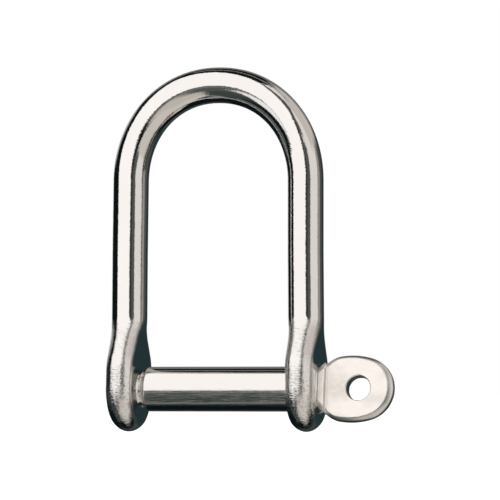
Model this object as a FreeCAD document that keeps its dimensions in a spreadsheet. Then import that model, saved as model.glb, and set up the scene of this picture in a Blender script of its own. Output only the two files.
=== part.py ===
import FreeCAD, Part
import math
import os
import Sketcher

# Wide D shackle with a screw pin, in millimetres.
# The origin is on the pin's axis, midway between the legs. +X runs along the pin towards its
# eye, +Z runs up to the crown, and -Y is the front.

# Driving dimensions: alias, value, meaning. "Above" is above the pin's axis.
DIMENSIONS = [
    ("bar_diameter", 8.0, "round bar that the bow is bent from"),
    ("leg_spacing", 41.2, "between the centrelines of the legs, at the pin"),
    ("bend_radius", 20.3, "centreline of the crown"),
    ("bend_height", 47.5, "centre of the crown's bend, above"),
    ("foot_radius", 9.5, "ear outline below the pin, about the pin"),
    ("shoulder_radius", 9.3, "ear outline at its widest"),
    ("shoulder_height", 3.6, "centre of the ear's widest arcs, above"),
    ("neck_height", 14.0, "centre of the arc where the ear has narrowed to the bar, above"),
    ("rim_thickness", 7.7, "of the forged ear, before its faces are cut"),
    ("rim_radius", 3.75, "rounding of the ear's forged rim"),
    ("inner_face_x", 17.65, "inner faces of the ears, at the pin"),
    ("inner_face_top_x", 17.2, "inner faces where they run out on the leg"),
    ("inner_face_top", 14.3, "top of the inner faces, above"),
    ("outer_face_x", 23.8, "outer faces of the ears, at the pin"),
    ("outer_face_knee", 6.0, "height where the outer faces start to lean outwards, above"),
    ("outer_face_top_x", 24.6, "outer faces where they have run out past the leg"),
    ("outer_face_top", 14.0, "height of that, above"),
    ("bore_chamfer", 0.4, "at the mouths of both holes in the ears"),
    ("pin_diameter", 10.0, "plain shank of the pin"),
    ("pin_play", 0.08, "radial play of the shank in its bore"),
    ("shoulder_x", -16.1, "where the shank steps down to the thread, along X"),
    ("shank_chamfer", 0.4, "at that step"),
    ("thread_end_x", -23.6, "tip of the thread, along X"),
    ("tip_chamfer", 0.7, "at the tip of the thread"),
    ("thread_diameter", 7.9, "over the crests of the pin's M8 coarse thread"),
    ("thread_pitch", 1.25, "from one crest to the next"),
    ("thread_depth", 0.71, "from the crests down to the grooves' floor"),
    ("thread_play", 0.08, "radial play between the two threads"),
    ("thread_start", 20.0, "pitches from the origin back to where the pin's groove starts"),
    ("thread_turns", 8.0, "turns of a groove, run out past both ends of the thread"),
    ("cutter_margin", 0.15, "how far a thread cutter stands out of the surface that it cuts"),
    ("head_x", 23.85, "where the shank ends and the head starts, along X"),
    ("root_height", 8.6, "of the head's root, where it meets the shank"),
    ("root_thickness", 6.4, "of the head's root, across its two flats"),
    ("root_length", 1.5, "from the shank to the step down to the tab"),
    ("root_flare", 45.0, "slope of the root's edges, in degrees"),
    ("root_bevel", 1.0, "bevel along the root's edges"),
    ("tab_thickness", 3.15, "of the flat eye tab"),
    ("tab_height", 14.9, "of the tab at its widest"),
    ("tab_side_radius", 16.0, "of the tab's upper and lower edges"),
    ("tab_end_radius", 7.1, "of the tab's rounded end"),
    ("tab_length", 16.75, "from the shank to the tab's far end"),
    ("tab_bevel", 0.9, "bevel round the tab"),
    ("tab_tilt", 10.0, "how far the tab's upper edge leans back, in degrees"),
    ("eye_diameter", 5.4, "hole in the tab"),
    ("eye_offset", 8.9, "from the shank to the middle of the eye"),
    ("eye_chamfer", 0.2, "at the mouths of the eye"),
]

CLEAR = 5.0  # how far a cut runs on past the material that it removes
TOUCH = 1e-4  # how near a plane counts as lying in it
X_AXIS, Y_AXIS = -1, -2  # a sketch's own axes
START, END, CENTRE = 1, 2, 3  # the points of a line or an arc
ORIGIN = (X_AXIS, START)
UPWARD = FreeCAD.Vector(0, 0, 1)

document = FreeCAD.newDocument("shackle")
sheet = document.addObject("Spreadsheet::Sheet", "dims")
for row, (alias, value, meaning) in enumerate(DIMENSIONS, start=1):
    sheet.set(f"A{row}", alias)
    sheet.set(f"B{row}", str(value))
    sheet.set(f"C{row}", meaning)
    sheet.setAlias(f"B{row}", alias)
document.recompute()


def size(formula):
    """The value of a formula of driving dimensions."""
    return float(sheet.evalExpression(formula.replace("dims.", "")))


# ---------------------------------------------------------------- sketches


def add_body(name):
    body = document.addObject("PartDesign::Body", name)
    body.Label = name
    body.AllowCompound = True
    return body


def origin_feature(body, role):
    return next(f for f in body.Origin.OriginFeatures if f.Role == role)


def add_sketch(body, name, plane):
    """An empty sketch on one of the body's own origin planes."""
    sketch = body.newObject("Sketcher::SketchObject", name)
    sketch.AttachmentSupport = [(origin_feature(body, plane), "")]
    sketch.MapMode = "FlatFace"
    return sketch


def hold(sketch, kind, *places):
    sketch.addConstraint(Sketcher.Constraint(kind, *places))


def bind(sketch, kind, *places, to):
    """A dimension of the sketch that a formula drives."""
    value = math.radians(size(to)) if kind == "Angle" else size(to)
    index = sketch.addConstraint(Sketcher.Constraint(kind, *places, value))
    sketch.setExpression(f"Constraints[{index}]", to)


def place(sketch, piece, point, across, up):
    """Binds a point to two formulas: how far it is across and up from the origin."""
    for kind, formula, axis in (("DistanceX", across, Y_AXIS), ("DistanceY", up, X_AXIS)):
        value = size(formula)
        if abs(value) < TOUCH:
            hold(sketch, "PointOnObject", piece, point, axis)
        elif value > 0:
            bind(sketch, kind, *ORIGIN, piece, point, to=formula)
        else:
            bind(sketch, kind, piece, point, *ORIGIN, to=f"-({formula})")


def vector(x, y):
    return FreeCAD.Vector(x, y, 0)


def line(start, end):
    return Part.LineSegment(vector(*start), vector(*end))


def circle(centre, radius):
    return Part.Circle(vector(*centre), UPWARD, radius)


def arc(centre, radius, start_angle, end_angle):
    """An anticlockwise arc, its angles in degrees."""
    angles = math.radians(start_angle), math.radians(end_angle)
    return Part.ArcOfCircle(circle(centre, radius), *angles)


def add_polygon(sketch, corners):
    """A closed outline of straight lines whose corners are pairs of formulas."""
    points = [(size(across), size(up)) for across, up in corners]
    following = points[1:] + points[:1]
    pieces = sketch.addGeometry([line(*ends) for ends in zip(points, following)])
    for n, (across, up) in enumerate(corners):
        hold(sketch, "Coincident", pieces[n - 1], END, pieces[n], START)
        place(sketch, pieces[n], START, across, up)


def add_rectangle(sketch, left, right, low, high):
    add_polygon(sketch, [(left, low), (right, low), (right, high), (left, high)])


def add_circle(sketch, across, radius):
    piece = sketch.addGeometry(circle((size(across), 0), size(radius)))
    place(sketch, piece, CENTRE, across, "0")
    bind(sketch, "Radius", piece, to=radius)


# ---------------------------------------------------------------- features


def add_feature(body, kind, name, **settings):
    """A feature of the body. A setting that is a formula stays bound to it."""
    feature = body.newObject(f"PartDesign::{kind}", name)
    for setting, value in settings.items():
        if isinstance(value, str) and "dims." in value:
            feature.setExpression(setting, value)
        else:
            setattr(feature, setting, value)
    document.recompute()
    return feature


def cut_through(body, name, sketch, **settings):
    return add_feature(body, "Pocket", name, Profile=sketch, Type="ThroughAll", **settings)


def edges_where(feature, wanted):
    """The feature, and the names of its edges that wanted says yes to."""
    edges = enumerate(feature.Shape.Edges, start=1)
    return feature, [f"Edge{n}" for n, edge in edges if wanted(edge)]


def lies_in(edge, axis, *planes):
    """Whether the whole edge lies in one of the planes that cross the axis at these places."""
    points = edge.discretize(5)
    found = [getattr(point, axis) for point in points]
    return any(all(abs(at - plane) < TOUCH for at in found) for plane in planes)


def is_round(edge, radius):
    """Whether the edge is a whole circle of this radius."""
    if not isinstance(edge.Curve, Part.Circle) or len(edge.Vertexes) != 1:
        return False
    return abs(edge.Curve.Radius - radius) < TOUCH


def cut_thread(body, name, first_groove, floor, rim, widening):
    """Cuts a right-handed 60 degree groove about X, from floor to rim, both radii as formulas.

    first_groove is where the groove's middle starts, straight above the axis, and widening
    is how much wider the groove is on each side than half a pitch at the pitch radius.
    """
    pitch_radius = "(dims.thread_diameter - dims.thread_depth) / 2"
    outward = "1" if size(rim) > size(floor) else "-1"
    corners = []
    for side, radius in (("-1", floor), ("1", floor), ("1", rim), ("-1", rim)):
        gain = f"{outward} * (({radius}) - {pitch_radius}) * tan(30)"
        half_width = f"(dims.thread_pitch / 4 + {widening} + {gain})"
        corners.append((f"{first_groove} + {side} * {half_width}", radius))
    sketch = add_sketch(body, f"{name}_section", "XZ_Plane")
    add_polygon(sketch, corners)
    document.recompute()
    return add_feature(
        body,
        "SubtractiveHelix",
        name,
        Profile=sketch,
        ReferenceAxis=(origin_feature(body, "X_Axis"), [""]),
        Mode="pitch-turns-angle",
        Pitch="dims.thread_pitch",
        Turns="dims.thread_turns",
        Angle=0,
        LeftHanded=False,
        Reversed=False,
    )


# ---------------------------------------------------------------- the bow


def add_ear_blank(body):
    """The left ear's blank: a foot arc, two shoulder arcs and a neck arc, joined by tangents.

    The straight pieces start out roughly in place, and the tangents settle them.
    """
    sketch = add_sketch(body, "ear_outline", "YZ_Plane")
    sketch.setExpression("AttachmentOffset.Base.z", "-dims.leg_spacing / 2")
    shoulder = (0, size("dims.shoulder_height"))
    neck = (0, size("dims.neck_height"))
    foot_arc, right_arc, neck_arc, left_arc = sketch.addGeometry(
        [
            arc((0, 0), size("dims.foot_radius"), 200, 340),
            arc(shoulder, size("dims.shoulder_radius"), -15, 30),
            arc(neck, size("dims.bar_diameter / 2"), 30, 150),
            arc(shoulder, size("dims.shoulder_radius"), 150, 195),
        ]
    )
    right_flank, right_slope, left_slope, left_flank = sketch.addGeometry(
        [
            line((9, -3), (10, -1)),
            line((8, 7), (4, 15)),
            line((-4, 15), (-8, 7)),
            line((-10, -1), (-9, -3)),
        ]
    )
    loop = [
        foot_arc,
        right_flank,
        right_arc,
        right_slope,
        neck_arc,
        left_slope,
        left_arc,
        left_flank,
    ]
    for n, piece in enumerate(loop):
        hold(sketch, "Tangent", loop[n - 1], END, piece, START)
    place(sketch, foot_arc, CENTRE, "0", "0")
    place(sketch, right_arc, CENTRE, "0", "dims.shoulder_height")
    place(sketch, neck_arc, CENTRE, "0", "dims.neck_height")
    hold(sketch, "Coincident", left_arc, CENTRE, right_arc, CENTRE)
    hold(sketch, "Equal", left_arc, right_arc)
    bind(sketch, "Radius", foot_arc, to="dims.foot_radius")
    bind(sketch, "Radius", right_arc, to="dims.shoulder_radius")
    bind(sketch, "Radius", neck_arc, to="dims.bar_diameter / 2")
    document.recompute()
    blank = add_feature(
        body, "Pad", "ear_blank", Profile=sketch, Midplane=True, Length="dims.rim_thickness"
    )
    middle = size("-dims.leg_spacing / 2")
    half = size("dims.rim_thickness / 2")
    rim = edges_where(blank, lambda edge: lies_in(edge, "x", middle - half, middle + half))
    return add_feature(body, "Fillet", "ear_rim", Base=rim, Radius="dims.rim_radius")


def add_bar(body):
    """The round bar: up the left leg, over the crown and down the right leg."""
    path = add_sketch(body, "centreline", "XZ_Plane")
    foot = size("dims.leg_spacing / 2")
    radius = size("dims.bend_radius")
    height = size("dims.bend_height")
    left, crown, right = path.addGeometry(
        [
            line((-foot, 0), (-radius, height)),
            arc((0, height), radius, 0, 180),
            line((radius, height), (foot, 0)),
        ]
    )
    hold(path, "Tangent", left, END, crown, END)
    hold(path, "Tangent", crown, START, right, START)
    place(path, left, START, "-dims.leg_spacing / 2", "0")
    hold(path, "Symmetric", left, START, right, END, Y_AXIS)
    place(path, crown, CENTRE, "0", "dims.bend_height")
    bind(path, "Radius", crown, to="dims.bend_radius")
    section = add_sketch(body, "bar_section", "XY_Plane")
    add_circle(section, "-dims.leg_spacing / 2", "dims.bar_diameter / 2")
    document.recompute()
    spine = (path, ["Edge1", "Edge2", "Edge3"])
    return add_feature(body, "AdditivePipe", "bar", Profile=section, Spine=spine)


def cut_faces(body):
    """Cuts the flat inner and outer faces of both ears."""
    sketch = add_sketch(body, "face_cuts", "XZ_Plane")
    low = f"-(dims.foot_radius + {CLEAR})"
    between = [
        ("-dims.inner_face_x", low),
        ("dims.inner_face_x", low),
        ("dims.inner_face_x", "0"),
        ("dims.inner_face_top_x", "dims.inner_face_top"),
        ("-dims.inner_face_top_x", "dims.inner_face_top"),
        ("-dims.inner_face_x", "0"),
    ]
    add_polygon(sketch, between)
    for side in ("", "-"):
        outside = [
            (f"{side}dims.outer_face_x", low),
            (f"{side}(dims.outer_face_top_x + {CLEAR})", low),
            (f"{side}(dims.outer_face_top_x + {CLEAR})", "dims.outer_face_top"),
            (f"{side}dims.outer_face_top_x", "dims.outer_face_top"),
            (f"{side}dims.outer_face_x", "dims.outer_face_knee"),
        ]
        add_polygon(sketch, outside)
    document.recompute()
    return cut_through(body, "ear_faces", sketch, Midplane=True)


def cut_hole(body, name, radius, to_the_right):
    """A round hole along X through one ear, with a chamfer at both of its mouths."""
    sketch = add_sketch(body, f"{name}_circle", "YZ_Plane")
    add_circle(sketch, "0", radius)
    document.recompute()
    hole = cut_through(body, name, sketch, Reversed=to_the_right)
    hole_radius = size(radius)
    mouths = edges_where(hole, lambda edge: is_round(edge, hole_radius))
    return add_feature(
        body, "Chamfer", f"{name}_mouths", Base=mouths, Size="dims.bore_chamfer"
    )


def build_bow():
    body = add_body("shackle_bow")
    add_ear_blank(body)
    mirror = origin_feature(body, "YZ_Plane")
    second = add_feature(
        body, "Mirrored", "second_ear", TransformMode="Whole shape", MirrorPlane=(mirror, [""])
    )
    body.Tip = second
    add_bar(body)
    cut_faces(body)
    cut_hole(body, "plain_bore", "dims.pin_diameter / 2 + dims.pin_play", True)
    floor = "dims.thread_diameter / 2 + dims.thread_play"
    minor = "dims.thread_diameter / 2 - dims.thread_depth + 2 * dims.thread_play"
    cut_hole(body, "tapped_bore", minor, False)
    return cut_thread(
        body,
        "ear_thread",
        first_groove="-(dims.thread_start + 1 / 2) * dims.thread_pitch",
        floor=floor,
        rim=f"{minor} - dims.cutter_margin",
        widening="dims.thread_play * tan(30)",
    )


# ---------------------------------------------------------------- the pin


def turn(body, name, corners):
    """A turned piece: a closed half-section in the XZ plane, revolved about X."""
    sketch = add_sketch(body, f"{name}_section", "XZ_Plane")
    add_polygon(sketch, corners)
    document.recompute()
    axis = (origin_feature(body, "X_Axis"), [""])
    return add_feature(body, "Revolution", name, Profile=sketch, ReferenceAxis=axis, Angle=360)


def build_shank():
    body = add_body("pin_shank")
    radius = "dims.pin_diameter / 2"
    corners = [
        ("dims.shoulder_x", "0"),
        ("dims.head_x", "0"),
        ("dims.head_x", radius),
        ("dims.shoulder_x + dims.shank_chamfer", radius),
        ("dims.shoulder_x", f"{radius} - dims.shank_chamfer"),
    ]
    return turn(body, "shank", corners)


def build_thread():
    body = add_body("pin_thread")
    radius = "dims.thread_diameter / 2"
    corners = [
        ("dims.thread_end_x", "0"),
        ("dims.shoulder_x", "0"),
        ("dims.shoulder_x", radius),
        ("dims.thread_end_x + dims.tip_chamfer", radius),
        ("dims.thread_end_x", f"{radius} - dims.tip_chamfer"),
    ]
    turn(body, "thread_blank", corners)
    return cut_thread(
        body,
        "pin_groove",
        first_groove="-dims.thread_start * dims.thread_pitch",
        floor=f"{radius} - dims.thread_depth",
        rim=f"{radius} + dims.cutter_margin",
        widening="0",
    )


def add_head_blank(body):
    """The head's outline: a flared root, two long side arcs and a round end.

    The flare's lines start out roughly in place, and the constraints settle them.
    """
    sketch = add_sketch(body, "head_outline", "XZ_Plane")
    root_x = size("dims.head_x")
    root_z = size("dims.root_height / 2")
    side_r = size("dims.tab_side_radius")
    side_z = size("dims.tab_side_radius - dims.tab_height / 2")
    end_r = size("dims.tab_end_radius")
    end_centre = "dims.head_x + dims.tab_length - dims.tab_end_radius"
    side_x = size(end_centre) - math.sqrt((side_r - end_r) ** 2 - side_z**2)
    flare_x, flare_z = root_x + 2, root_z + 2
    low_arc, end_arc, high_arc, high_flare, root, low_flare = sketch.addGeometry(
        [
            arc((side_x, side_z), side_r, 248, 288),
            arc((size(end_centre), 0), end_r, -72, 72),
            arc((side_x, -side_z), side_r, 72, 112),
            line((flare_x, flare_z), (root_x, root_z)),
            line((root_x, root_z), (root_x, -root_z)),
            line((root_x, -root_z), (flare_x, -flare_z)),
        ]
    )
    hold(sketch, "Tangent", low_arc, END, end_arc, START)
    hold(sketch, "Tangent", end_arc, END, high_arc, START)
    hold(sketch, "Coincident", high_arc, END, high_flare, START)
    hold(sketch, "Coincident", high_flare, END, root, START)
    hold(sketch, "Coincident", root, END, low_flare, START)
    hold(sketch, "Coincident", low_flare, END, low_arc, START)
    place(sketch, root, START, "dims.head_x", "dims.root_height / 2")
    place(sketch, root, END, "dims.head_x", "-dims.root_height / 2")
    place(sketch, end_arc, CENTRE, end_centre, "0")
    bind(sketch, "Radius", end_arc, to="dims.tab_end_radius")
    bind(sketch, "Radius", low_arc, to="dims.tab_side_radius")
    hold(sketch, "Equal", low_arc, high_arc)
    rise = "dims.tab_side_radius - dims.tab_height / 2"
    bind(sketch, "DistanceY", *ORIGIN, low_arc, CENTRE, to=rise)
    bind(sketch, "DistanceY", high_arc, CENTRE, *ORIGIN, to=rise)
    bind(sketch, "Angle", X_AXIS, START, low_flare, START, to="-dims.root_flare")
    bind(sketch, "Angle", X_AXIS, START, high_flare, END, to="dims.root_flare")
    document.recompute()
    return add_feature(
        body, "Pad", "head_blank", Profile=sketch, Midplane=True, Length="dims.root_thickness"
    )


def build_head():
    body = add_body("pin_head")
    add_head_blank(body)

    steps = add_sketch(body, "step_cuts", "XY_Plane")
    step_x = "dims.head_x + dims.root_length"
    far_x = f"dims.head_x + dims.tab_length + {CLEAR}"
    near_y = "dims.tab_thickness / 2"
    far_y = f"dims.root_thickness / 2 + {CLEAR}"
    add_rectangle(steps, step_x, far_x, near_y, far_y)
    add_rectangle(steps, step_x, far_x, f"-({far_y})", f"-{near_y}")
    document.recompute()
    tab = cut_through(body, "tab_faces", steps, Midplane=True)

    half_tab = size("dims.tab_thickness / 2")
    root_end = size(step_x)
    rim = edges_where(
        tab,
        lambda edge: lies_in(edge, "y", half_tab, -half_tab) and not lies_in(edge, "x", root_end),
    )
    bevelled = add_feature(body, "Chamfer", "tab_bevel", Base=rim, Size="dims.tab_bevel")

    half_root = size("dims.root_thickness / 2")
    sides = edges_where(
        bevelled,
        lambda edge: lies_in(edge, "y", half_root, -half_root)
        and edge.BoundBox.ZMin * edge.BoundBox.ZMax > 0,
    )
    add_feature(body, "Chamfer", "root_bevel", Base=sides, Size="dims.root_bevel")

    circle_sketch = add_sketch(body, "eye_circle", "XZ_Plane")
    add_circle(circle_sketch, "dims.head_x + dims.eye_offset", "dims.eye_diameter / 2")
    document.recompute()
    eye = cut_through(body, "eye", circle_sketch, Midplane=True)
    eye_radius = size("dims.eye_diameter / 2")
    mouths = edges_where(eye, lambda edge: is_round(edge, eye_radius))
    head = add_feature(body, "Chamfer", "eye_mouths", Base=mouths, Size="dims.eye_chamfer")
    body.Placement.Rotation = FreeCAD.Rotation(FreeCAD.Vector(-1, 0, 0), size("dims.tab_tilt"))
    body.setExpression("Placement.Rotation.Angle", "dims.tab_tilt")
    return head


# ---------------------------------------------------------------- checks and files


def check(found):
    """Stops at an object that failed, and at a piece that isn't one valid solid."""
    for item in document.Objects:
        if {"Invalid", "Error"} & set(item.State):
            raise RuntimeError(f"{item.Label} failed: {item.State}")
    for body in found:
        shape = body.Shape
        if shape.isNull() or not shape.isValid() or len(shape.Solids) != 1:
            raise RuntimeError(f"{body.Label} isn't one valid solid")


for build in (build_bow, build_shank, build_thread, build_head):
    build()
document.recompute()
bodies = document.findObjects("PartDesign::Body")
check(bodies)
os.makedirs("parts", exist_ok=True)
for body in bodies:
    body.Shape.exportStep(f"parts/{body.Label}.step")
    print(body.Label, round(body.Shape.Volume, 1), "cubic mm")
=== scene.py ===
import bpy
import math
import numpy as np
from mathutils import Matrix, Vector


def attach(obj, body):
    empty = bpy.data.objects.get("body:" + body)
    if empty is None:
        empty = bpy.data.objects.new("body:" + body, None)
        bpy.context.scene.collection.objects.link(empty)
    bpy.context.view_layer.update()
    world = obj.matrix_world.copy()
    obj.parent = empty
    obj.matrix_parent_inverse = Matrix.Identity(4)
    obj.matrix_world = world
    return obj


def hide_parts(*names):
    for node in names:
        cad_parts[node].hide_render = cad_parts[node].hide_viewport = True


# The look of a wide D shackle with a screw pin. Shapes are worked out in millimetres in the
# CAD frame: origin on the pin's axis midway between the legs, +X towards the pin's eye, +Z up to
# the crown, -Y the front. Each piece is a distance field, meshed on a grid and then pulled exactly
# onto its surface.

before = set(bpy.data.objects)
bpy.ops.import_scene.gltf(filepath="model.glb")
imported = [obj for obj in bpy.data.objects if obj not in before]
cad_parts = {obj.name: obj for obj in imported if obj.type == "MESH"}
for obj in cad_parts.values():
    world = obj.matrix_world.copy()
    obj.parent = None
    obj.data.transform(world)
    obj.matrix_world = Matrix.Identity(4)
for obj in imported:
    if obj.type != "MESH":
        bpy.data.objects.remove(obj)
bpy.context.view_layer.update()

MM = 0.001  # a millimetre in metres
MICRON = 1e-6

# the bow
BAR_R = 4.0
LEG_X = 20.6  # centreline of a leg at the pin
BEND_X = 20.3  # half width of the crown's centreline
BEND_Z = 46.0  # where the crown springs from the legs
BEND_RISE = 21.8  # how far it rises from there
BEND_POWER = 2.09  # 2 would be a true ellipse, and more is squarer
CROWN_SHIFT = 0.12  # the crown sits this far towards +X
SHIFT_FROM, SHIFT_OVER = 30, 16  # the shift starts at this height and is full this far above it

# the ears
FOOT_R, SHOULDER_R, SHOULDER_Z = 9.47, 9.27, 3.6  # two circles that the outline goes round
NECK_Z = 13.8  # where the ear has narrowed to the bar
NECK_FILLET = 0.8
NOSE_GROWTH = 1.4  # round the rim the section is an oval, BAR_R and this much from nose to middle
NOSE_TOP, NOSE_BLEND = 15.5, 5.0  # the oval starts at this height and is full this far below it
INNER_X, OUTER_X = 17.65, 23.8  # the flat faces at the pin
INNER_LEAN = 0.0315  # the inner face leans in by this much for each millimetre up
INNER_CURL, INNER_CURL_Z = 0.038, 11  # and above this height it curves away
OUTER_CURL, OUTER_CURL_Z = 0.0125, 6  # as the outer face does above this one
FACE_EDGE = 0.45
BORE_R = 5.08
BORE_CHAMFER = 0.4
TAPPED_CHAMFER = 0.2  # the tapped bore opens to this much more than the screw's crests
BORE_EDGE = 0.15

# the thread
PITCH = 1.25
FLANK = 1.732  # slope of a 60 degree groove's side
CREST_R = 3.95
GROOVE_DEPTH = 0.71
EAR_CREST_R = 3.40
EAR_GROOVE_DEPTH = 0.63
EAR_GROOVE_HALF = 0.36  # half the width of the ear's groove, halfway down
PIN_FLATTEN, EAR_FLATTEN = 0.6, 0.7  # tame the fields, which are steep on the flanks

# the sloping turns by the shoulder
SLOPING_X, SLOPING_BLEND = -18.9, 0.7  # they start here and are full this far on
SLOPING_TURN = 0.83  # where in a turn a slope starts
SLOPING_RISE = 0.75  # the share of a turn over which it deepens
SLOPING_DEPTH = 0.62

# the pin
PIN_R = 5.0
STEP_X = -16.1  # the shoulder between shank and thread
STEP_CHAMFER = 0.4
STEP_OVERLAP = 1  # how far the thread runs into the shank
TIP_X = -23.6
TIP_CHAMFER = 0.7
DIAGONAL = 0.7071  # turns a 45 degree cut into a distance
HEAD_X = 23.85  # where the root of the tab begins

# the tab
TILT = math.radians(10.0)
ROOT_HALF, ROOT_HEIGHT, ROOT_END = 3.2, 4.3, 25.35
ROOT_CHAMFER = 0.9
FLARE_BLEND = 1.2  # how softly the root runs into the tab's outline
TAB_HALF = 1.575
SIDE_R, SIDE_DROP = 16.0, 8.55  # the arcs above and below, and how far off the axis they are centred
END_R, END_X = 7.1, 33.49
BEVEL, BEVEL_DROP, BEVEL_CURVE = 1.0, 0.75, 1.5
BEVEL_GROWTH, BEVEL_X, BEVEL_OVER = 0.5, 33, 7  # the bevel widens towards the tab's end
EYE_X, EYE_R = 32.75, 2.7
EYE_EDGE = 0.45

# meshing
SLOPE_REACH = 0.01  # half the distance over which a slope is measured
LEAST_SQUARE = 0.05  # the least squared slope that a pull is divided by
PULLS = 4  # how many times the vertices are pulled onto the surface


# ---------------------------------------------------------------- distance fields

# Small edges that have no name of their own are rounded by the last number given to soft_max.


def soft_max(a, b, k):
    """The larger of two fields, with their edge rounded over about k."""
    h = np.maximum(k - np.abs(a - b), 0) / k
    return np.maximum(a, b) + h * h * k / 4


def soft_min(a, b, k):
    """The smaller of two fields, with their corner filled over about k."""
    return -soft_max(-a, -b, k)


def smooth_step(t):
    """From 0 to 1 as t goes from 0 to 1, levelling off at both ends."""
    t = np.clip(t, 0, 1)
    return t * t * (3 - 2 * t)


def fade_between(z, bottom, rise, top, fall):
    """1 between two heights, with a fade-in of length rise and a fade-out of length fall inside."""
    return smooth_step((top - z) / fall) * smooth_step((z - bottom) / rise)


def hull_distance(y, z, low, high):
    """Distance to the outline round two circles (height, radius) one above the other."""
    (z0, r0), (z1, r1) = low, high
    span = z1 - z0
    lean = (r0 - r1) / span
    rise = math.sqrt(1 - lean * lean)
    y, z = np.abs(y), z - z0
    along = -lean * y + rise * z
    return np.where(
        along < 0,
        np.hypot(y, z) - r0,
        np.where(along > rise * span, np.hypot(y, z - span) - r1, y * rise + z * lean - r0),
    )


def turns_along(x, y, z):
    """How many turns of the right-hand thread lie between the middle of the pin and a point."""
    return x / PITCH - np.arctan2(z, y) / (2 * math.pi) + 0.25


def groove_depth(x, y, z, shift, half_width, depth):
    """How deep the thread's 60 degree groove is at a point, for its half width halfway down."""
    turns = turns_along(x, y, z) + shift
    off_centre = np.abs(turns - np.round(turns)) * PITCH
    return np.clip((half_width - off_centre) * FLANK + depth / 2, 0, depth)


def ripple(x, y, z, wave, stretch=(1, 1, 1), seed=1, count=9):
    """Smooth unevenness between about -1 and 1, whose bumps are about wave wide."""
    rng = np.random.default_rng(seed)
    total = 0
    for _ in range(count):
        way = rng.normal(size=3)
        way *= 2 * math.pi * rng.uniform(0.35, 0.75) / (wave * np.linalg.norm(way))
        way /= stretch
        total = total + np.sin(way[0] * x + way[1] * y + way[2] * z + rng.uniform(0, 2 * math.pi))
    return total / math.sqrt(2 * count)


def centre_offset(x, z):
    """How far a point is outside the bar's centreline: straight legs under nearly half an ellipse."""
    lean = (LEG_X - BEND_X) / BEND_Z
    leg = LEG_X - lean * np.maximum(z, 0)
    xs = x - CROWN_SHIFT * np.clip((z - SHIFT_FROM) / SHIFT_OVER, 0, 1)
    up = np.maximum(z - BEND_Z, 0)
    a, b = np.abs(xs) / BEND_X, up / BEND_RISE
    level = (a**BEND_POWER + b**BEND_POWER) ** (1 / BEND_POWER)
    slope = np.hypot(a ** (BEND_POWER - 1) / BEND_X, b ** (BEND_POWER - 1) / BEND_RISE) + 1e-9
    bend = (level - 1) * level ** (BEND_POWER - 1) / slope
    return np.where(z > BEND_Z, bend, np.abs(xs) - leg)


def ear_outline(y, z):
    """Distance to the ear and leg's outline seen from the side."""
    foot = hull_distance(y, z, (0.0, FOOT_R), (SHOULDER_Z, SHOULDER_R))
    slope = hull_distance(y, z, (SHOULDER_Z, SHOULDER_R), (NECK_Z, BAR_R))
    strip = np.maximum(np.abs(y) - BAR_R, -z - BAR_R)
    return soft_min(np.minimum(foot, slope), strip, NECK_FILLET)


def bow_field(x, y, z):
    """The bar, bent into the crown and flattened into the ears."""
    ear_side = np.abs(x)
    # round bar, whose section turns into an oval with a narrower nose round the ears' rims
    nose = BAR_R + NOSE_GROWTH * smooth_step((NOSE_TOP - z) / NOSE_BLEND)
    core = np.maximum(ear_outline(y, z) + nose, 0) * BAR_R / nose
    field = np.hypot(centre_offset(x, z), core) - BAR_R
    # ground unevenness on the lower rims of the ears, and hammered unevenness all over
    low = fade_between(z, -8.5, 4.0, 6.0, 6.0)
    field = field + 0.004 * low * ripple(x, y, z, 1.6, seed=4)
    field = field + 0.012 * ripple(x, y, z, 9.0, (1, 1, 2.5), seed=7)
    # flat faces, running out into the leg
    curl = INNER_CURL * np.maximum(z - INNER_CURL_Z, 0) ** 2
    inner = INNER_X - INNER_LEAN * np.maximum(z, 0) - curl
    outer = OUTER_X + OUTER_CURL * np.maximum(z - OUTER_CURL_Z, 0) ** 2
    field = soft_max(field, inner - ear_side, FACE_EDGE)
    field = soft_max(field, ear_side - outer, FACE_EDGE)
    # plain bore on the right, tapped bore on the left
    rho = np.hypot(y, z)
    mouth = np.minimum(np.abs(ear_side - INNER_X), np.abs(ear_side - OUTER_X))
    plain = BORE_R + np.maximum(BORE_CHAMFER - mouth, 0) - rho
    thread_r = EAR_CREST_R + groove_depth(x, y, z, 0.5, EAR_GROOVE_HALF, EAR_GROOVE_DEPTH)
    tapped = (np.maximum(thread_r, CREST_R + TAPPED_CHAMFER - mouth) - rho) * EAR_FLATTEN
    return soft_max(field, np.where(x > 0, plain, tapped), BORE_EDGE)


def in_tab_plane(y, z):
    """Y and Z turned so that the leaning tab stands upright."""
    c, s = math.cos(TILT), math.sin(TILT)
    return c * y - s * z, s * y + c * z


def bevel_width(x):
    return BEVEL + BEVEL_GROWTH * np.clip((x - BEVEL_X) / BEVEL_OVER, 0, 1)


def outline_of_head(x, z):
    """Distance to the eye tab's outline, in the tab's own plane."""
    side_x = END_X - math.sqrt((SIDE_R - END_R) ** 2 - SIDE_DROP**2)
    z = np.abs(z)
    side = np.hypot(x - side_x, z + SIDE_DROP) - SIDE_R
    end = np.hypot(x - END_X, z) - END_R
    past = (x - side_x) * SIDE_DROP - (z + SIDE_DROP) * (END_X - side_x) > 0
    round_part = np.where(past, end, side)
    flare = (z - ROOT_HEIGHT - (x - HEAD_X)) * math.sqrt(0.5)
    return soft_max(round_part, flare, FLARE_BLEND)


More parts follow.
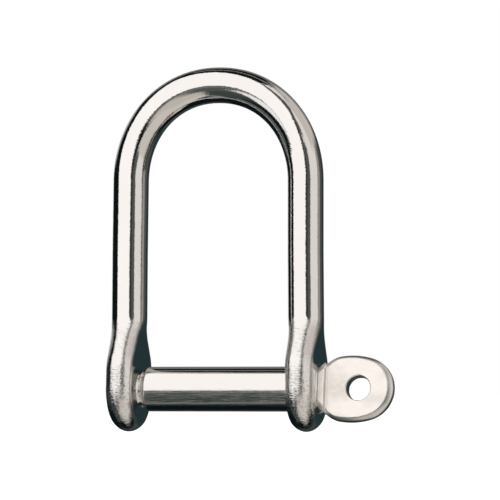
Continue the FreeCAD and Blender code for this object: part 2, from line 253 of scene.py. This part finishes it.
def head_field(x, y, z):
    """The eye tab and its thicker root."""
    y, z = in_tab_plane(y, z)
    outline = outline_of_head(x, z)
    inside = np.maximum(-outline, 0)
    thinner = BEVEL_DROP * np.maximum(1 - inside / bevel_width(x), 0) ** BEVEL_CURVE
    tab = soft_max(outline, np.abs(y) - (TAB_HALF - thinner), 0.5)
    root_edge = np.maximum(outline, 0.7 * (outline + np.abs(y) - ROOT_HALF + ROOT_CHAMFER))
    root = soft_max(soft_max(root_edge, np.abs(y) - ROOT_HALF, 0.2), x - ROOT_END, 0.12)
    head = soft_min(tab, root, 0.2)
    head = soft_max(head, HEAD_X - x, 0.1)
    return soft_max(head, EYE_R - np.hypot(x - EYE_X, z), EYE_EDGE)


def pin_field(x, y, z):
    """The plain shank and the threaded end."""
    rho = np.hypot(y, z)
    shank = soft_max(rho - PIN_R, x - HEAD_X, 0.2)
    shank = soft_max(shank, STEP_X - x, 0.15)
    shank = soft_max(shank, DIAGONAL * (rho - PIN_R + STEP_X - x + STEP_CHAMFER), 0.1)
    # the thread: 60 degree grooves as far as the ear, and sloping turns from there to the shoulder
    full = groove_depth(x, y, z, 0.0, PITCH / 4, GROOVE_DEPTH)
    part = np.mod(turns_along(x, y, z) + SLOPING_TURN, 1.0)
    sloping = SLOPING_DEPTH * np.minimum(part / SLOPING_RISE, (1 - part) / (1 - SLOPING_RISE))
    share = smooth_step((x - SLOPING_X) / SLOPING_BLEND)
    thread = (rho - CREST_R + full * (1 - share) + sloping * share) * PIN_FLATTEN
    thread = soft_max(thread, DIAGONAL * (rho - CREST_R + TIP_X - x + TIP_CHAMFER), 0.1)
    thread = soft_max(soft_max(thread, TIP_X - x, 0.15), x - STEP_X - STEP_OVERLAP, 0.1)
    return np.minimum(shank, thread)


# ---------------------------------------------------------------- meshing


def gradient(field, points):
    """How fast the field rises along each axis, at each point."""
    slope = np.empty_like(points)
    for axis in range(3):
        near = points.copy()
        near[:, axis] += SLOPE_REACH
        ahead = field(*near.T)
        near[:, axis] -= 2 * SLOPE_REACH
        slope[:, axis] = (ahead - field(*near.T)) / (2 * SLOPE_REACH)
    return slope


def mesh_of(name, field, low, high, step):
    """A closed quad mesh of the field's surface, with a normal at each vertex."""
    counts = [int(math.ceil((b - a) / step)) + 1 for a, b in zip(low, high)]
    axes = [a + step * np.arange(n) for a, n in zip(low, counts)]
    values = np.empty(counts, np.float32)
    for i, x in enumerate(axes[0]):
        values[i] = field(*np.meshgrid([x], axes[1], axes[2], indexing="ij"))[0]
    solid = values < 0

    # one vertex in each grid cell that the surface crosses, at the mean of its crossings
    cells = [n - 1 for n in counts]
    total = np.zeros(cells + [3], np.float32)
    hits = np.zeros(cells, np.float32)

    def part(array, offset):
        return array[tuple(slice(o, o + n) for o, n in zip(offset, cells))]

    for axis in range(3):
        ahead = [0, 0, 0]
        ahead[axis] = 1
        others = [a for a in range(3) if a != axis]
        for du in (0, 1):
            for dv in (0, 1):
                start = [0, 0, 0]
                start[others[0]], start[others[1]] = du, dv
                stop = [s + a for s, a in zip(start, ahead)]
                v0, v1 = part(values, start), part(values, stop)
                cut = (v0 < 0) != (v1 < 0)
                t = np.where(cut, v0 / np.where(cut, v0 - v1, 1), 0)
                hits += cut
                total[..., axis] += np.where(cut, t, 0)
                total[..., others[0]] += cut * du
                total[..., others[1]] += cut * dv
    active = hits > 0
    number = np.full(cells, -1, np.int64)
    number[active] = np.arange(active.sum())
    where = np.argwhere(active)
    points = where + total[active] / hits[active][:, None]
    points = np.asarray(low) + points * step
    for _ in range(PULLS):
        slope = gradient(field, points)
        square = np.maximum((slope * slope).sum(1), LEAST_SQUARE)
        move = field(*points.T)[:, None] * slope / square[:, None]
        points -= np.clip(move, -step / 2, step / 2)

    # one quad for each grid edge that the surface crosses
    quads = []
    for axis in range(3):
        u, v = [a for a in range(3) if a != axis]
        take = [slice(1, -1)] * 3
        take[axis] = slice(0, -1)
        ahead = list(take)
        ahead[axis] = slice(1, None)
        s0, s1 = solid[tuple(take)], solid[tuple(ahead)]
        for rising in (True, False):
            at = np.argwhere((s0 & ~s1) if rising else (~s0 & s1))
            at[:, u] += 1
            at[:, v] += 1
            ring = []
            for du, dv in ((0, 0), (1, 0), (1, 1), (0, 1)):
                c = at.copy()
                c[:, u] -= du
                c[:, v] -= dv
                ring.append(number[tuple(c.T)])
            ring = np.stack(ring, 1)
            flip = rising == (axis == 1)
            quads.append(ring[:, ::-1] if flip else ring)
    quads = np.concatenate(quads)

    normals = gradient(field, points)
    normals /= np.linalg.norm(normals, axis=1)[:, None]
    mesh = bpy.data.meshes.new(name)
    mesh.from_pydata((points * MM).tolist(), [], quads.tolist())
    mesh.polygons.foreach_set("use_smooth", [True] * len(mesh.polygons))
    mesh.normals_split_custom_set_from_vertices(normals.tolist())
    mesh.validate()
    piece = bpy.data.objects.new(name, mesh)
    bpy.context.collection.objects.link(piece)
    return piece, points, normals


def paint(piece, name, values):
    """A number at each vertex, for the material to read."""
    layer = piece.data.attributes.new(name, "FLOAT", "POINT")
    layer.data.foreach_set("value", np.asarray(values, np.float32))


def sharpness(piece, normals):
    """How fast the surface turns at each vertex, so that edges can be worn bright."""
    ends = np.empty(2 * len(piece.data.edges), np.int64)
    piece.data.edges.foreach_get("vertices", ends)
    ends = ends.reshape(-1, 2)
    bend = np.linalg.norm(normals[ends[:, 0]] - normals[ends[:, 1]], axis=1)
    count = len(normals)
    total = sum(np.bincount(ends[:, side], bend, count) for side in (0, 1))
    meetings = sum(np.bincount(ends[:, side], minlength=count) for side in (0, 1))
    return total / np.maximum(meetings, 1)


coarse = 1.0
BOW_STEP, PIN_STEP, TAB_STEP = 0.24 * coarse, 0.12 * coarse, 0.14 * coarse
bow, bow_points, bow_normals = mesh_of(
    "shackle_body", bow_field, (-25.6, -10.2, -10.4), (25.6, 10.2, 72.8), BOW_STEP
)
pin, _, pin_normals = mesh_of(
    "screw_pin", pin_field, (-24.4, -5.8, -5.8), (24.6, 5.8, 5.8), PIN_STEP
)
tab, tab_points, tab_normals = mesh_of(
    "eye_tab", head_field, (23.3, -5.0, -8.4), (41.4, 5.0, 8.4), TAB_STEP
)

# masks for the materials: the ears' flat faces, the whole ears, their lower rims, and worn edges
z = bow_points[:, 2]
facing_x = np.abs(bow_normals[:, 0])
paint(bow, "machined", smooth_step((facing_x - 0.985) / 0.01) * smooth_step((16.5 - z) / 1.5))
paint(bow, "ear", smooth_step((15.8 - z) / 1.2))
paint(bow, "low", fade_between(z, -7.5, 4.0, 5.5, 5.0))
paint(bow, "edge", smooth_step(sharpness(bow, bow_normals) / BOW_STEP / 0.6 - 0.6))
paint(pin, "edge", smooth_step(sharpness(pin, pin_normals) / PIN_STEP / 0.8 - 0.6))
# and the bevel round the tab
x, y, z = tab_points.T
inwards = -outline_of_head(x, in_tab_plane(y, z)[1])
paint(tab, "rim", smooth_step((bevel_width(x) + 0.25 - inwards) / 0.5))
paint(tab, "edge", smooth_step(sharpness(tab, tab_normals) / TAB_STEP - 0.5))


# ---------------------------------------------------------------- materials


class Nodes:
    """Shorthand for building a node tree."""

    def __init__(self, tree):
        self.tree = tree

    def add(self, kind, inputs=(), **settings):
        node = self.tree.nodes.new(kind)
        for setting, value in settings.items():
            setattr(node, setting, value)
        for socket, value in dict(inputs).items():
            if isinstance(value, bpy.types.NodeSocket):
                self.tree.links.new(value, node.inputs[socket])
            else:
                node.inputs[socket].default_value = value
        return node

    def math(self, operation, a, b=0.0):
        return self.add("ShaderNodeMath", {0: a, 1: b}, operation=operation).outputs[0]

    def ramp(self, value, low, high, to_low=0.0, to_high=1.0):
        node = self.add(
            "ShaderNodeMapRange",
            {"Value": value, "From Min": low, "From Max": high, "To Min": to_low, "To Max": to_high},
            interpolation_type="SMOOTHSTEP",
        )
        return node.outputs["Result"]

    def noise(self, vector, scale, detail=3.0, rough=0.5):
        node = self.add(
            "ShaderNodeTexNoise",
            {"Vector": vector, "Scale": scale, "Detail": detail, "Roughness": rough},
        )
        return node.outputs["Fac"]

    def plus(self, a, b):
        return self.math("ADD", a, b)

    def times(self, a, b):
        return self.math("MULTIPLY", a, b)

    def attribute(self, name):
        return self.add("ShaderNodeAttribute", attribute_name=name).outputs["Fac"]

    def split(self, vector):
        return self.add("ShaderNodeSeparateXYZ", {0: vector}).outputs

    def dot(self, a, b):
        node = self.add("ShaderNodeVectorMath", {0: a, 1: b}, operation="DOT_PRODUCT")
        return node.outputs["Value"]

    def distance(self, vector, point):
        node = self.add("ShaderNodeVectorMath", {0: vector, 1: point}, operation="DISTANCE")
        return node.outputs["Value"]

    def stretch(self, vector, x, y, z):
        node = self.add("ShaderNodeVectorMath", {0: vector, 1: (x, y, z)}, operation="MULTIPLY")
        return node.outputs[0]

    def mix(self, factor, a, b):
        node = self.add("ShaderNodeMix", {0: factor, 6: a, 7: b}, data_type="RGBA")
        return node.outputs[2]


def new_material(name):
    """A new material, its nodes, and the place on the surface in millimetres."""
    material = bpy.data.materials.new(name)
    material.use_nodes = True
    material.node_tree.nodes.clear()
    n = Nodes(material.node_tree)
    place = n.stretch(n.add("ShaderNodeTexCoord").outputs["Object"], 1 / MM, 1 / MM, 1 / MM)
    return material, n, place


def finish_steel(n, colour, roughness, microns):
    """The shader, with the height of its bumps given in microns."""
    bump = n.add("ShaderNodeBump", {"Height": microns, "Distance": MICRON, "Strength": 1.0})
    shader = n.add(
        "ShaderNodeBsdfPrincipled",
        {"Base Color": colour, "Metallic": 1.0, "Roughness": roughness, "Normal": bump.outputs[0]},
    )
    n.add("ShaderNodeOutputMaterial", {"Surface": shader.outputs[0]})


def polished_forging():
    """Mirror polish over a slightly wavy forging, with belt marks and pits on the ears' rims."""
    material, n, place = new_material("polished_forged_steel")
    dull, bright = (0.79, 0.77, 0.745, 1), (0.86, 0.85, 0.835, 1)
    clouded, pitted = (0.72, 0.69, 0.655, 1), (0.42, 0.40, 0.38, 1)
    painted_cool_reflection, worn = (0.60, 0.63, 0.635, 1), (0.93, 0.92, 0.90, 1)
    machined = n.attribute("machined")
    ear = n.times(n.attribute("ear"), n.math("SUBTRACT", 1.0, machined))
    low = n.attribute("low")
    edge = n.attribute("edge")

    broad = n.noise(place, 0.10, 2.0)
    cloud = n.noise(place, 0.8, 4.0, 0.6)
    pepper = n.ramp(n.noise(place, 3.4, 2.0, 0.7), 0.60, 0.72)
    belt = n.noise(n.stretch(place, 0.7, 1.6, 5.2), 1.0, 1.5, 0.6)
    pits = n.ramp(n.noise(n.stretch(place, 1.3, 1.3, 1.7), 1.0, 1.5, 0.5), 0.56, 0.66)
    brushed = n.noise(n.stretch(place, 1, 9.0, 1.1), 1.0, 3.0, 0.7)

    tint = n.mix(broad, dull, bright)
    tint = n.mix(n.times(cloud, 0.25), tint, clouded)
    tint = n.mix(n.times(n.times(pits, low), 0.35), tint, pitted)
    # painted reflection: the flat faces are tinted teal-grey, standing in for the teal room they
    # reflect
    tint = n.mix(n.times(machined, 0.6), tint, painted_cool_reflection)
    tint = n.mix(n.times(edge, 0.5), tint, worn)

    roughness = n.ramp(cloud, 0.3, 0.7, 0.045, 0.095)
    roughness = n.plus(roughness, n.times(ear, n.ramp(belt, 0.3, 0.7, 0.0, 0.06)))
    roughness = n.plus(roughness, n.times(machined, n.ramp(brushed, 0.3, 0.7, 0.0, 0.06)))
    roughness = n.plus(roughness, n.times(pepper, 0.05))

    microns = n.plus(n.times(n.noise(place, 0.45, 2.0), 16.0), n.times(n.noise(place, 2.4, 2.0), 12.0))
    microns = n.plus(microns, n.times(ear, n.times(belt, 85.0)))
    microns = n.plus(microns, n.times(n.times(pits, low), -20.0))
    microns = n.plus(microns, n.times(machined, n.times(brushed, 1.6)))
    finish_steel(n, tint, roughness, microns)
    return material


def turned_bar():
    """Ground round bar: hairlines round it, and long scratches on its underside."""
    material, n, place = new_material("turned_steel")
    light, dark = (0.83, 0.81, 0.78, 1), (0.79, 0.775, 0.75, 1)
    glint, scored = (0.93, 0.94, 0.93, 1), (0.52, 0.54, 0.54, 1)
    worn = (0.94, 0.93, 0.91, 1)
    edge = n.attribute("edge")
    rings = n.noise(n.stretch(place, 7.0, 0.12, 0.12), 1.0, 2.0, 0.7)
    scratches = n.noise(n.stretch(place, 0.28, 5.0, 5.0), 1.0, 3.0, 0.75)
    cloud = n.noise(n.stretch(place, 0.5, 1.2, 1.2), 1.0, 4.0, 0.65)
    under = n.ramp(n.split(place)[2], 0.5, -0.7)

    tint = n.mix(cloud, light, dark)
    tint = n.mix(n.times(n.ramp(scratches, 0.52, 0.70), under), tint, glint)
    tint = n.mix(n.times(n.ramp(scratches, 0.50, 0.34), under), tint, scored)
    tint = n.mix(n.times(edge, 0.5), tint, worn)

    roughness = n.ramp(rings, 0.3, 0.7, 0.05, 0.10)
    roughness = n.plus(roughness, n.times(under, n.ramp(scratches, 0.35, 0.7, 0.02, 0.16)))
    microns = n.plus(n.times(rings, 0.5), n.times(n.noise(place, 0.8, 2.0), 3.0))
    microns = n.plus(microns, n.times(n.times(scratches, under), 6.0))
    finish_steel(n, tint, roughness, microns)
    return material


def satin_forging():
    """Satin faces, finely mottled, darker where they have been handled, with a painted cool grey
    reflection on the rim.
    """
    material, n, place = new_material("satin_steel")
    pale, tan = (0.92, 0.88, 0.83, 1), (0.85, 0.805, 0.755, 1)
    smudged, soiled = (0.64, 0.60, 0.56, 1), (0.62, 0.575, 0.52, 1)
    painted_cool_reflection, worn = (0.80, 0.80, 0.805, 1), (0.95, 0.94, 0.92, 1)
    rim, edge = n.attribute("rim"), n.attribute("edge")
    grain = n.noise(place, 6.0, 3.0, 0.7)
    mottle = n.noise(n.stretch(place, 1.0, 1.0, 1.6), 0.7, 3.0, 0.55)
    smudge = n.noise(n.stretch(place, 0.16, 0.16, 0.3), 1.0, 2.0)
    between_root_and_eye = (28.6, 0.0, 0.2)
    handled = n.ramp(n.distance(place, between_root_and_eye), 4.4, 1.0)
    draw = n.noise(n.stretch(place, 0.5, 0.5, 7.0), 1.0, 2.0, 0.6)

    tint = n.mix(mottle, pale, tan)
    tint = n.mix(n.ramp(smudge, 0.48, 0.75, 0.0, 0.45), tint, smudged)
    tint = n.mix(n.times(handled, n.ramp(mottle, 0.2, 0.8, 0.35, 0.85)), tint, soiled)
    # painted reflection: the bevel is tinted a cooler grey, standing in for the grey light it catches
    tint = n.mix(n.times(rim, 0.45), tint, painted_cool_reflection)
    tint = n.mix(n.times(edge, 0.4), tint, worn)

    satin = n.ramp(mottle, 0.3, 0.7, 0.29, 0.34)
    roughness = n.plus(satin, n.times(edge, -0.10))
    microns = n.plus(n.times(grain, 2.5), n.times(mottle, 1.0))
    microns = n.plus(microns, n.times(draw, 1.5))
    finish_steel(n, tint, roughness, microns)
    return material


bow.data.materials.append(polished_forging())
pin.data.materials.append(turned_bar())
tab.data.materials.append(satin_forging())

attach(bow, "bow")
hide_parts("shackle_bow")
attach(pin, "pin_turn")
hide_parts("pin_shank", "pin_thread")
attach(tab, "pin_turn")
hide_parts("pin_head")


# ---------------------------------------------------------------- studio

# The cards are flat panels far away, painted over each other in this order. Each is given by the
# azimuth (0 is the front, -Y, and positive is towards +X) and elevation of its middle, its half
# width and half height as tangents seen from the object, how soft its edges are, and its colour.
CARDS = [
    ("grey walls", 100, 0, 1.6, 0.75, 0.6, (0.050, 0.058, 0.056)),
    ("dim corner", 128, 6, 0.26, 0.50, 0.16, (0.088, 0.084, 0.078)),
    ("teal wall", 165, -14, 0.45, 0.50, 0.20, (0.022, 0.042, 0.046)),
    ("dull table", -20, -52, 0.50, 0.62, 0.25, (0.050, 0.063, 0.060)),
    ("table edge", -97, -11, 0.24, 0.08, 0.08, (0.12, 0.14, 0.135)),
    ("table leg", -77, -34, 0.09, 0.42, 0.12, (0.12, 0.14, 0.135)),
    ("table line", -51, -69, 0.50, 0.035, 0.04, (0.26, 0.27, 0.265)),
    ("beige floor", 54, -46, 0.64, 0.92, 0.12, (0.66, 0.62, 0.58)),
    ("near floor", 3, -42, 0.24, 0.46, 0.14, (0.58, 0.545, 0.50)),
    ("brown floor", 93, -24, 0.16, 0.32, 0.10, (0.40, 0.36, 0.32)),
    ("grey corner", 104, 26, 0.28, 0.60, 0.12, (0.33, 0.31, 0.28)),
    ("pink wall", 70, 30, 0.576, 0.98, 0.05, (0.83, 0.80, 0.78)),
    ("upper wall", 112, 44, 0.60, 0.38, 0.22, (0.62, 0.57, 0.54)),
    ("table glow", -22, -24, 0.26, 0.24, 0.20, (0.092, 0.104, 0.100)),
    ("near table", -14, -11, 0.30, 0.09, 0.10, (0.225, 0.225, 0.205)),
    ("window frame", -22, 37, 1.30, 1.09, 0.05, (0.046, 0.042, 0.036)),
    ("door jamb", 36, 4, 0.17, 0.30, 0.08, (0.085, 0.10, 0.09)),
    ("window", -27, 37, 1.06, 0.935, 0.035, (1.16, 1.13, 1.115)),
    ("window post", 43, 46, 0.09, 0.38, 0.08, (0.10, 0.09, 0.08)),
    ("low window", -36, -17, 0.17, 0.18, 0.09, (1.0, 0.98, 0.96)),
    ("back window", -127, 17, 0.22, 0.15, 0.08, (0.36, 0.37, 0.37)),
    ("rear floor", 178, -34, 0.45, 0.12, 0.14, (0.075, 0.078, 0.075)),
    ("rear softbox", -146, 13, 0.20, 0.24, 0.10, (0.80, 0.80, 0.79)),
    ("back light", -170, 34, 0.70, 0.22, 0.20, (0.24, 0.24, 0.235)),
    ("ceiling strip", 165, 74, 0.60, 0.05, 0.05, (0.26, 0.26, 0.25)),
]
DARK_ROOM = (0.004, 0.008, 0.009)  # what shows between the cards
IN_FRONT = 0.001  # a card isn't painted where the cosine to its middle is less

world = bpy.data.worlds.new("studio")
bpy.context.scene.world = world
world.use_nodes = True
world.node_tree.nodes.clear()
n = Nodes(world.node_tree)
direction = n.add("ShaderNodeTexCoord").outputs["Generated"]
light = (*DARK_ROOM, 1)
for _, azimuth, elevation, half_width, half_height, soft, colour in CARDS:
    turn, rise = math.radians(azimuth), math.radians(elevation)
    centre = Vector((math.sin(turn) * math.cos(rise), -math.cos(turn) * math.cos(rise), math.sin(rise)))
    side = Vector((math.cos(turn), math.sin(turn), 0))
    up = side.cross(centre)
    facing = n.dot(direction, centre)
    ahead = n.math("MAXIMUM", facing, IN_FRONT)
    masks = [n.math("GREATER_THAN", facing, IN_FRONT)]
    for axis, half in ((side, half_width), (up, half_height)):
        offset = n.math("ABSOLUTE", n.math("DIVIDE", n.dot(direction, axis), ahead))
        masks.append(n.ramp(offset, half + soft / 2, half - soft / 2))
    mask = n.math("MULTIPLY", masks[0], n.math("MULTIPLY", masks[1], masks[2]))
    light = n.mix(mask, light, (*colour, 1))
# the cards show only as reflections, and what the camera sees behind the object is plain white
seen = n.add("ShaderNodeLightPath").outputs["Is Camera Ray"]
light = n.mix(seen, light, (1.0, 1.0, 1.0, 1))
background = n.add("ShaderNodeBackground", {"Color": light, "Strength": 1.0})
n.add("ShaderNodeOutputWorld", {"Surface": background.outputs[0]})

FLOOR_HALF = 3.0
FLOOR_Z = -0.0104  # just under the ears
floor_mesh = bpy.data.meshes.new("floor")
corners = [(-1, -1), (1, -1), (1, 1), (-1, 1)]
floor_mesh.from_pydata(
    [(a * FLOOR_HALF, b * FLOOR_HALF, FLOOR_Z) for a, b in corners], [], [(0, 1, 2, 3)]
)
floor = bpy.data.objects.new("floor", floor_mesh)
bpy.context.collection.objects.link(floor)
floor.visible_glossy = False  # the cards stand in for what the steel reflects
pale, n, _ = new_material("pale_floor")
shader = n.add(
    "ShaderNodeBsdfPrincipled",
    {
        "Base Color": (0.85, 0.85, 0.85, 1),
        "Roughness": 0.9,
        "Emission Color": (1, 1, 1, 1),
        "Emission Strength": 0.75,
    },
)
n.add("ShaderNodeOutputMaterial", {"Surface": shader.outputs[0]})
floor_mesh.materials.append(pale)

# ---------------------------------------------------------------- camera

AZIMUTH = math.radians(16.0)
DISTANCE = 0.82
ASIDE = 0.00731  # how far to the right of the origin the camera stands
AIM_Z = 0.0310  # the camera is level with the pin and looks up to this height
right = Vector((math.cos(AZIMUTH), math.sin(AZIMUTH), 0))
ahead = Vector((-math.sin(AZIMUTH), math.cos(AZIMUTH), 0))
camera_data = bpy.data.cameras.new("camera")
camera_data.sensor_width = 36.0
camera_data.lens = 265.0
camera_data.clip_start = 0.01
camera = bpy.data.objects.new("camera", camera_data)
bpy.context.collection.objects.link(camera)
pitch = math.atan2(AIM_Z, DISTANCE)
position = -ahead * DISTANCE + right * ASIDE
look = ahead * math.cos(pitch) + Vector((0, 0, math.sin(pitch)))
turned = look.to_track_quat("-Z", "Y").to_matrix().to_4x4()
camera.matrix_world = Matrix.Translation(position) @ turned
bpy.context.scene.camera = camera
bpy.context.scene.view_settings.view_transform = "Standard"
